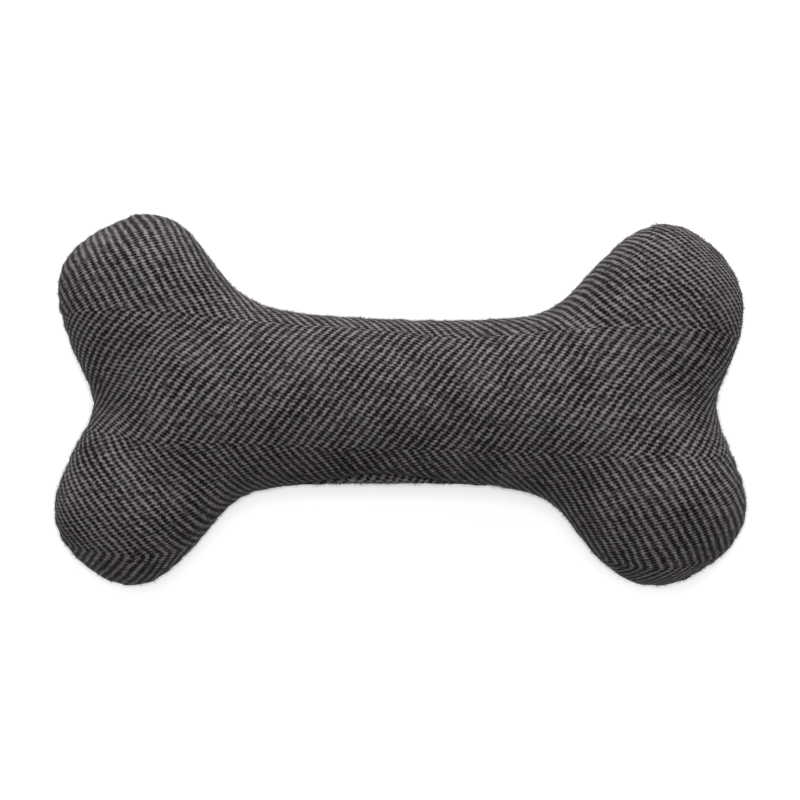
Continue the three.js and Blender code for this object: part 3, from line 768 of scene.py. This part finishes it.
def thread_finish(name, dark, light):
    """Twisted yarn: fine fibres that slant round the thread, from its turn and its length."""
    material, nodes, shader = new_finish(name, 0.7, Specular_IOR_Level=0.35, Sheen_Weight=0.1)
    ply = nodes.node("UVMap", uv_map="ply")
    turn = nodes.node("SeparateXYZ", {0: ply})
    slant = nodes.node("CombineXYZ", {0: (turn.beside(1) / PLY_TWIST - turn) * PLY_FIBRES})
    fibre = slant.noise(3, 3)
    colour_and_relief(nodes, shader, fibre.mix(dark, light), fibre, 0.5, 0.1)
    return material


dark_thread = thread_finish("dark_thread", DARK_THREAD, DARK_THREAD_FIBRE)
station_foot, station_angle = stations()
in_closing = closing_share(station_foot, station_angle) <= 1
after_closing = np.flatnonzero(in_closing)[-1] + 1
for name, side in (("needle", 1), ("bobbin", -1)):
    ring = stitch_points(station_foot, station_angle, side * seam_thread_height)
    ring = np.roll(ring, -after_closing, axis=0)[: len(ring) - in_closing.sum()]
    path, walked = even_path(ring, THREAD_STEP)
    path[:, 2] -= side * STITCH_DIP * np.cos(2 * np.pi * walked / STITCH_LENGTH)
    seam_thread = twisted_thread(f"{name}_stitching", path, walked, SEAM_THREAD, (0, 0, 1))
    seam_thread.data.materials.append(dark_thread)
    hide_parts(f"seam_{name}_thread")
    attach(seam_thread, "toy")

# Squeaker
# A hollow bladder blow-moulded in thin soft plastic, with a mould line round its middle. A flanged
# sleeve of hard plastic plugs the hole in its back, and pinches a film reed between a bed and a wedge.
BLADDER_RADIUS = 16
BLADDER_HALF = 10
BLADDER_WALL = 0.8
BLADDER_HOLE = 5.8
MOULD_LINE = 0.14
MOULD_LINE_WIDTH = 0.4
TURN_STEPS = 96
DOME_STEPS = 40
SOFT_PLASTIC = ((0.79, 0.79, 0.75, 1), (0.66, 0.66, 0.62, 1))
HARD_PLASTIC = ((0.71, 0.66, 0.55, 1), (0.6, 0.55, 0.44, 1))
REED_FILM = ((0.6, 0.64, 0.67, 1), (0.48, 0.53, 0.56, 1))

squeaker_centre = np.array([
    SQUEAKER_X + bone_shift[0],
    bone_shift[1],
    squeaker_high.z / MM - BLADDER_HALF,
])


def turned(name, radius, height, maps=(), lift=0):
    """A closed shell turned about the squeaker's axis from a profile of radii and heights that goes up
    the outside and down the inside, with a lift given for each turn and profile point."""
    turn = turns(TURN_STEPS)
    points = np.stack([
        radius * np.cos(turn),
        radius * np.sin(turn),
        np.broadcast_to(height, (TURN_STEPS, len(height))) + lift,
    ], axis=-1)
    quads = ring_quads(TURN_STEPS, len(radius))
    return mesh_piece(name, points.reshape(-1, 3) + squeaker_centre, quads, maps)


def bladder_shell():
    """Two ovals, radius times cosine and half height times sine of an angle, joined at the hole's rim,
    with a low ridge round the outer one's middle."""
    outer = np.linspace(-np.arccos(BLADDER_HOLE / BLADDER_RADIUS), np.pi / 2, 2 * DOME_STEPS)
    inner_radius = BLADDER_RADIUS - BLADDER_WALL
    inner = np.linspace(np.pi / 2, -np.arccos(BLADDER_HOLE / inner_radius), 2 * DOME_STEPS)
    outer_height = BLADDER_HALF * np.sin(outer)
    ridge = MOULD_LINE * bell(outer_height, MOULD_LINE_WIDTH)
    radius = np.concatenate([BLADDER_RADIUS * np.cos(outer) + ridge, inner_radius * np.cos(inner)])
    height = np.concatenate([outer_height, (BLADDER_HALF - BLADDER_WALL) * np.sin(inner)])
    return turned("bladder", np.append(radius, radius[0]), np.append(height, height[0]))


def moulded_plastic(name, colour, shade, roughness, grain):
    """Moulded plastic: a faint cloud of colour, with a fine eggshell grain on its skin."""
    material, nodes, shader = new_finish(name, roughness, Specular_IOR_Level=0.45)
    place = nodes.node("TexCoord", output=3)
    cloud = place.noise(160, 3)
    nodes.feed(shader.inputs["Roughness"], cloud * 0.2 + (roughness - 0.1))
    colour_and_relief(nodes, shader, cloud.mix(shade, colour), place.noise(grain, 2), 0.25, 0.1)
    return material


soft_plastic = moulded_plastic("soft_plastic", *SOFT_PLASTIC, roughness=0.45, grain=1500)
hard_plastic = moulded_plastic("hard_plastic", *HARD_PLASTIC, roughness=0.4, grain=2600)
reed_film = moulded_plastic("reed_film", *REED_FILM, roughness=0.22, grain=4000)
bladder = bladder_shell()
bladder.data.materials.append(soft_plastic)
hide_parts("squeaker_bladder")
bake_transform(bladder)
for node in ("reed_sleeve", "reed_bed", "reed_wedge"):
    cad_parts[node].material_slots[0].material = hard_plastic
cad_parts["reed"].material_slots[0].material = reed_film

# Pouch
# Two discs of plain undyed cotton, sewn together round the squeaker at a flat rim, which the stitches
# gather a little. It keeps the stuffing out of the squeaker.
POUCH_RADIUS = 16.3
POUCH_CLOTH = 0.6
POUCH_RIM_RADIUS = 18.5
POUCH_FRONT_HALF = 10.3
POUCH_BACK_HALF = 12.52
POUCH_GATHERS = 22
POUCH_GATHER = 0.2
POUCH_YARN = 0.5
RIM_STEPS = 8
DARK_COTTON = (0.47, 0.41, 0.31, 1)
PALE_COTTON = (0.7, 0.64, 0.53, 1)


def gathers(turn, radius):
    """How far the stitches lift the cloth: sines of the turn, full at the rim, by the eighth power of
    the share of its radius."""
    wave = np.sin(POUCH_GATHERS * turn) + 0.5 * np.sin(POUCH_GATHERS * 0.5 * turn + 1)
    return POUCH_GATHER * wave * (radius / POUCH_RIM_RADIUS) ** 8


def pouch_bowl(name, half, side):
    """A bowl of cloth: an oval inside, an oval a cloth's thickness outside it, and a flat rim between
    their feet, all lifted by the gathers. The area of its outer face and rim is given back too."""
    near = SEAM_GAP / 2
    far = near + POUCH_CLOTH
    outer_radius = POUCH_RADIUS + POUCH_CLOTH
    outer_half = half + POUCH_CLOTH
    inside = np.linspace(np.pi / 2, np.arcsin(near / half), DOME_STEPS)
    outside = np.linspace(np.arcsin(far / outer_half), np.pi / 2, DOME_STEPS)
    inner_foot = POUCH_RADIUS * np.cos(inside[-1])
    outer_foot = outer_radius * np.cos(outside[0])
    rim_out = np.linspace(inner_foot, POUCH_RIM_RADIUS, RIM_STEPS + 1)[1:]
    rim_back = np.linspace(POUCH_RIM_RADIUS, outer_foot, RIM_STEPS + 1)[:-1]
    inner_bowl = POUCH_RADIUS * np.cos(inside)
    outer_bowl = outer_radius * np.cos(outside)
    radius = np.concatenate([inner_bowl, rim_out, rim_back, outer_bowl])
    rim_height = np.concatenate([np.full(RIM_STEPS, near), np.full(RIM_STEPS, far)])
    height = np.concatenate([half * np.sin(inside), rim_height, outer_half * np.sin(outside)])
    radius[[0, -1]] = 0
    shown = np.stack([radius, height], axis=-1)[DOME_STEPS:]
    mean_radius = (shown[1:, 0] + shown[:-1, 0]) / 2
    area = (2 * np.pi * mean_radius * np.linalg.norm(np.diff(shown, axis=0), axis=1)).sum()
    walked = lengths_along(np.stack([radius, height], axis=-1))
    turn = turns(TURN_STEPS)
    flat = np.stack([np.cos(turn) * walked, np.sin(turn) * walked], axis=-1) / POUCH_YARN
    lift = gathers(turn, radius)
    if side < 0:
        radius, height, lift, flat = radius[::-1], -height[::-1], lift[:, ::-1], flat[:, ::-1]
    flat = flat.reshape(-1, 2)
    maps = [("cloth", flat), ("OFBake", in_square(flat))]
    return turned(name, radius, height, maps, lift), area * MM * MM


def plain_cotton():
    """Plain weave: each thread goes over and under by turns, as the sine of one count times the sine of
    the other. The colour follows it, with shade painted where the threads dip under, and slubs of paler
    yarn."""
    material, nodes, shader = new_finish("cotton", 0.9, Specular_IOR_Level=0.2, Sheen_Weight=0.15)
    cloth = nodes.node("UVMap", uv_map="cloth")
    along = nodes.node("SeparateXYZ", {0: cloth})
    across = along.beside(1)
    checker = (along * np.pi).sum("SINE") * (across * np.pi).sum("SINE")
    rounded = (along * 2 * np.pi).sum("COSINE") * (across * 2 * np.pi).sum("COSINE")
    height = checker * 0.5 + rounded * 0.25 + cloth.noise(0.7, 4) * 0.6
    # Painted shade where the weave is low; the noise in the height gives the paler slubs
    colour = (height * 0.5 + 0.35).mix(DARK_COTTON, PALE_COTTON)
    colour_and_relief(nodes, shader, colour, height, 0.6, 0.15)
    return material


cotton = plain_cotton()
pouch_front, front_area = pouch_bowl("pouch_front_disc", POUCH_FRONT_HALF, 1)
pouch_back, back_area = pouch_bowl("pouch_back_disc", POUCH_BACK_HALF, -1)
for disc, area, node in (
    (pouch_front, front_area, "pouch_front"),
    (pouch_back, back_area, "pouch_back"),
):
    disc.data.materials.append(cotton)
    disc_width = 2 * (area / np.pi) ** 0.5
    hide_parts(node)
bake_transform(pouch_front)
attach(pouch_back, "toy")

# The pouch's own thread is a ring of running stitch on the rim.
POUCH_THREAD = 0.5
POUCH_THREAD_STEPS = 400
POUCH_STITCH_INSET = (POUCH_RIM_RADIUS - POUCH_RADIUS - POUCH_CLOTH) / 3
POUCH_STITCH_RADIUS = POUCH_RIM_RADIUS - POUCH_STITCH_INSET
POUCH_STITCH_HEIGHT = SEAM_GAP / 2 + POUCH_CLOTH + THREAD_GAP + POUCH_THREAD / 2
PALE_THREAD = (0.5, 0.45, 0.36, 1)
PALE_THREAD_FIBRE = (0.74, 0.69, 0.59, 1)
pouch_turn = np.linspace(0, 2 * np.pi, POUCH_THREAD_STEPS)
pouch_ring = np.stack([
    POUCH_STITCH_RADIUS * np.cos(pouch_turn),
    POUCH_STITCH_RADIUS * np.sin(pouch_turn),
    POUCH_STITCH_HEIGHT + gathers(pouch_turn, POUCH_STITCH_RADIUS),
], axis=-1) + squeaker_centre - bone_shift
pale_thread = thread_finish("pale_thread", PALE_THREAD, PALE_THREAD_FIBRE)
pouch_stitching = twisted_thread(
    "pouch_stitching", pouch_ring, lengths_along(pouch_ring), POUCH_THREAD, (0, 0, 1)
)
pouch_stitching.data.materials.append(pale_thread)
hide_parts("pouch_thread")
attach(pouch_stitching, "toy")

# Stuffing
# Handfuls of loose white polyester fibre: one pushed into each knob, one on each side of the squeaker,
# a nest that holds it and a pad over it. Each handful is a rounded, lumpy mass that fills its place.
FILL_GAP = 0.4
WAD_GAP = 0.5
KNOB_WAD_START = 50
KNOB_WAD_MIDDLE = (78, 28)
NEST_LENGTH = 48
PAD_CLEARANCE = 0.5
GROOVE_SLOPE = 0.8
WAD_ROUNDING = 1.1
WAD_LUMP = 0.45
WAD_LUMP_LENGTHS = (6, 11, 17)
WAD_TURNS = 160
WAD_ROWS = 84
WELL_STEPS = 15
HOLLOW_STEPS = 24
DARK_FLUFF = (0.62, 0.61, 0.58, 1)
PALE_FLUFF = (0.86, 0.85, 0.82, 1)
WELL_RADIUS = POUCH_RIM_RADIUS + FILL_GAP
WELL_FLOOR = -SEAM_GAP / 2 - POUCH_CLOTH - FILL_GAP
HOLLOW_RADIUS = POUCH_RADIUS + POUCH_CLOTH + FILL_GAP
HOLLOW_HALF = POUCH_BACK_HALF + POUCH_CLOTH + FILL_GAP
PAD_BOTTOM = POUCH_FRONT_HALF + POUCH_CLOTH + FILL_GAP
PAD_MIDDLE = PAD_BOTTOM + 6

squeaker_z = squeaker_centre[2] - bone_shift[2]
nest_start = SQUEAKER_X - NEST_LENGTH / 2
nest_end = SQUEAKER_X + NEST_LENGTH / 2


def in_cover(x, y, z):
    """Distance to the inside of the cover, negative inside it, with room for the seam's folded edges."""
    foot = np.clip(x, 1 - SPINE_HALF_LENGTH, SPINE_HALF_LENGTH - 1)
    seam = seam_height(foot, np.where(y < 0, -1.0, 1.0))
    off_seam = np.abs(z - seam)
    groove = 1 - smooth_step(off_seam, seam_groove_height, seam_groove_height + GROOVE_SLOPE)
    return bone_field(x, y, z) + CLOTH + FILL_GAP + (SEAM_ALLOWANCE - CLOTH) * groove


def within(walls):
    """A test for a place that is inside the cover and inside flat or round walls: the log of the sum of
    e to each distance over a rounding, times the rounding, so that edges come out soft."""
    def test(x, y, z):
        distances = [in_cover(x, y, z)] + [wall(x, y, z) for wall in walls]
        return WAD_ROUNDING * np.log(sum(np.exp(np.maximum(d, -60) / WAD_ROUNDING) for d in distances))
    return test


def place_end(test, centre, run):
    """Points out from a centre, in each direction, where a test says that a wad's place ends."""
    reach = crossing(lambda t: test(*np.moveaxis(centre + run * t[..., None], -1, 0)), run.shape[:-1])
    return centre + run * reach[..., None]


def lumpy(skin, run, seed):
    """A wad's skin drawn in, against the directions that it was made in, by a wandering lump."""
    lump = WAD_LUMP * (1 + waves(skin, WAD_LUMP_LENGTHS, seed))
    return skin - run * np.maximum(lump, 0)[..., None]


def wad(name, centre, walls):
    """A handful as a lumpy round surface about a centre, out to the end of its place: the directions
    turn about the bone's length and lean from it, from one end to the other."""
    turn = turns(WAD_TURNS)
    lean = np.linspace(0, np.pi, WAD_ROWS)[None]
    run_x = np.cos(lean) + 0 * turn
    run = np.stack([run_x, np.sin(lean) * np.cos(turn), np.sin(lean) * np.sin(turn)], axis=-1)
    run[:, [0, -1], 1:] = 0
    points = lumpy(place_end(within(walls), np.array(centre), run), run, len(name))
    return mesh_piece(name, placed(points.reshape(-1, 3)), ring_quads(*points.shape[:2])[:, ::-1])


def nest_wad(name):
    """The nest about the squeaker's axis: at each turn a row goes from under its middle out and up to
    the rim of the well, down the well's wall, in over its floor and down the pouch's hollow."""
    test = within([lambda x, y, z: nest_start - x, lambda x, y, z: x - nest_end])
    turn = turns(WAD_TURNS)
    rim_x = SQUEAKER_X + WELL_RADIUS * np.cos(turn)
    rim_y = WELL_RADIUS * np.sin(turn)
    rim_z = crossing(lambda t: test(rim_x, rim_y, t), turn.shape)
    low = -np.pi / 2
    rises = low + (np.arctan2(rim_z, WELL_RADIUS) - low) * np.linspace(0, 1, FINE_STEPS + 1)[None]
    middle = np.array([SQUEAKER_X, 0, 0])

    def directions(rise):
        level = np.cos(rise)
        return np.stack([level * np.cos(turn), level * np.sin(turn), np.sin(rise)], axis=-1)

    walked = lengths_along(place_end(test, middle, directions(rises)))
    run = directions(at_shares(walked, rises, np.linspace(0, 1, WAD_ROWS)))
    skin = lumpy(place_end(test, middle, run), run, len(name))
    skin[:, 0, :2] = (SQUEAKER_X, 0)
    skin[:, 0, 2] = skin[:, 0, 2].mean()
    floor_z = squeaker_z + WELL_FLOOR
    wall = np.linspace(skin[:, -1, 2], floor_z, WELL_STEPS + 1).T[:, 1:]
    foot = HOLLOW_RADIUS * np.sqrt(1 - (WELL_FLOOR / HOLLOW_HALF) ** 2)
    sink = np.linspace(np.arcsin(-WELL_FLOOR / HOLLOW_HALF), np.pi / 2, HOLLOW_STEPS)
    well_wall = np.full(WELL_STEPS, WELL_RADIUS)
    floor_middle = [(WELL_RADIUS + foot) / 2]
    radius = np.concatenate([well_wall, floor_middle, HOLLOW_RADIUS * np.cos(sink)])
    radius[-1] = 0
    sunk = np.concatenate([[floor_z], squeaker_z - HOLLOW_HALF * np.sin(sink)])
    height = np.concatenate([wall, np.broadcast_to(sunk, (WAD_TURNS, len(sunk)))], axis=1)
    well = np.stack([SQUEAKER_X + radius * np.cos(turn), radius * np.sin(turn), height], axis=-1)
    points = np.concatenate([skin, well], axis=1)
    return mesh_piece(name, placed(points.reshape(-1, 3)), ring_quads(*points.shape[:2]))


def loose_fibre():
    """White fibre: fine wandering strands, from noise stretched two ways, over soft clumps."""
    material, nodes, shader = new_finish("loose_fibre", 1.0, Specular_IOR_Level=0.15, Sheen_Weight=0.3)
    place = nodes.node("TexCoord", output=3)
    clump = place.noise(170, 4)
    strands = 0
    for lengthwise in ((900, 4200, 4200), (4200, 900, 4200)):
        strands = place.stretched(*lengthwise).noise(1, 2, Distortion=1.5) * 0.5 + strands
    colour = (strands * 0.9 + clump * 0.7 - 0.3).mix(DARK_FLUFF, PALE_FLUFF)
    colour_and_relief(nodes, shader, colour, strands + clump, 0.7, 0.5)
    return material


wads = {}
for name, (knob_x, knob_y, radius) in KNOBS.items():
    end = np.sign(knob_x)
    side = np.sign(knob_y)
    walls = [
        lambda x, y, z, end=end: KNOB_WAD_START - end * x,
        lambda x, y, z, side=side: WAD_GAP / 2 - side * y,
    ]
    middle = (end * KNOB_WAD_MIDDLE[0], side * KNOB_WAD_MIDDLE[1], 0)
    wads[f"fill_knob_{name}"] = wad(f"knob_wad_{name}", middle, walls)
for name, low, high in (
    ("left", WAD_GAP - KNOB_WAD_START, nest_start - WAD_GAP),
    ("right", nest_end + WAD_GAP, KNOB_WAD_START - WAD_GAP),
):
    walls = [lambda x, y, z, low=low: low - x, lambda x, y, z, high=high: x - high]
    wads[f"fill_shaft_{name}"] = wad(f"shaft_wad_{name}", ((low + high) / 2, 0, 0), walls)
wads["fill_squeaker_nest"] = nest_wad("nest_wad")
pad_walls = [
    lambda x, y, z: np.hypot(x - SQUEAKER_X, y) - (WELL_RADIUS - PAD_CLEARANCE),
    lambda x, y, z: squeaker_z + PAD_BOTTOM - z,
]
wads["fill_press_pad"] = wad("press_wad", (SQUEAKER_X, 0, squeaker_z + PAD_MIDDLE), pad_walls)

white_fibre = loose_fibre()
for node, handful in wads.items():
    handful.data.materials.append(white_fibre)
    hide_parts(node)
    if node == "fill_press_pad":
        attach(handful, "press_pad")
    else:
        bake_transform(handful)

# Closing
# The opening that the toy was turned and stuffed through, drawn shut by hand with a ladder stitch: the
# thread runs inside one folded edge, crosses through both, and runs on inside the other.
CLOSING_STITCHES = 24
CLOSING_STEP = 0.35
CLOSING_SMOOTHING = 5

closing_foot = SPINE_HALF_LENGTH * (2 * np.arange(1, CLOSING_STITCHES) / CLOSING_STITCHES - 1)
closing_foot = closing_foot[np.abs(closing_foot - CLOSING_MIDDLE_X) <= CLOSING_HALF_LENGTH]
closing_angle = np.full(len(closing_foot), -np.pi / 2)
closing_lift = np.where(np.arange(len(closing_foot)) % 2, -1, 1) * closing_thread_height
arrive = stitch_points(closing_foot, closing_angle, -closing_lift)
leave = stitch_points(closing_foot, closing_angle, closing_lift)
ladder = np.stack([arrive, leave], axis=1).reshape(-1, 3)[1:-1]
ladder, walked = even_path(ladder, CLOSING_STEP)
kernel = np.ones(CLOSING_SMOOTHING) / CLOSING_SMOOTHING
margin = CLOSING_SMOOTHING // 2
drawn_out = np.pad(ladder, ((margin, margin), (0, 0)), mode="edge")
ladder = np.stack([np.convolve(drawn_out[:, axis], kernel, "valid") for axis in range(3)], axis=-1)
closing_stitch = twisted_thread("closing_stitch", ladder, walked, CLOSING_THREAD, (0, 1, 0))
closing_stitch.data.materials.append(dark_thread)
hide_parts("closing_thread")
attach(closing_stitch, "toy")

# Studio
# A white sheet under the toy, two wide soft lamps beyond its upper edge, a weaker one on each side and
# a small one over it. The sheet is white to the camera, and keeps the faint shadow close round the toy.
FLOOR_SIZE = 6
FLOOR_WHITE = (0.82, 0.82, 0.82, 1)
FLOOR_GLOW = 0.7
FLOOR_SHADE = (0.66, 0.66, 0.66, 1)
ROOM_LIGHT = 0.04

floor_mesh = bpy.data.meshes.new("floor")
half = FLOOR_SIZE / 2
floor_corners = [(-half, -half, 0), (half, -half, 0), (half, half, 0), (-half, half, 0)]
floor_mesh.from_pydata(floor_corners, [], [(0, 1, 2, 3)])
floor = put_in_scene("floor", floor_mesh)


def seen_directly(nodes):
    """1 for what the camera sees, also in gloss or through something clear, and 0 for the rest."""
    path = nodes.node("LightPath")
    return (path + path.beside("Is Glossy Ray") + path.beside("Is Transmission Ray")).sum("MINIMUM", 1)


paper, nodes, shader = new_finish("paper", 1.0, Base_Color=FLOOR_WHITE, Specular_IOR_Level=0)
glow = nodes.node("Emission", {"Color": (1, 1, 1, 1), "Strength": FLOOR_GLOW})
white = nodes.node("AddShader", {0: glow, 1: nodes.node("BsdfDiffuse", {"Color": FLOOR_SHADE})})
plain = Value(nodes.tree, shader.outputs[0])
mixed = nodes.node("MixShader", {"Fac": seen_directly(nodes), 1: plain, 2: white})
nodes.feed(nodes.tree.nodes["Material Output"].inputs["Surface"], mixed)
floor_mesh.materials.append(paper)


def lamp(name, place, width, depth, power):
    """A soft rectangular lamp at a place, turned to face the toy, in metres and watts."""
    light = bpy.data.lights.new(name, "AREA")
    light.shape = "RECTANGLE"
    light.size = width
    light.size_y = depth
    light.energy = power
    holder = put_in_scene(name, light)
    holder.location = place
    holder.rotation_euler = (-Vector(place)).to_track_quat("-Z", "Y").to_euler()


lamp("key", (0.1, 1.3, 1.1), 1.2, 0.8, 9)
lamp("low", (0, 1.7, 0.4), 1.2, 0.5, 19)
lamp("left", (-1.3, 0.6, 1.1), 0.8, 0.8, 6)
lamp("right", (1.4, 0.1, 0.9), 0.8, 0.8, 4)
lamp("over", (0, 0.15, 1.9), 0.5, 0.5, 14.5)

world = bpy.data.worlds.new("studio")
bpy.context.scene.world = world
world.use_nodes = True
air = Value(world.node_tree)
dim = air.node("Background", {"Color": (1, 1, 1, 1), "Strength": ROOM_LIGHT})
bright = air.node("Background", {"Color": (1, 1, 1, 1), "Strength": 1})
sky = air.node("MixShader", {"Fac": seen_directly(air), 1: dim, 2: bright})
air.feed(air.tree.nodes["World Output"].inputs["Surface"], sky)
bpy.context.scene.view_settings.view_transform = "Standard"
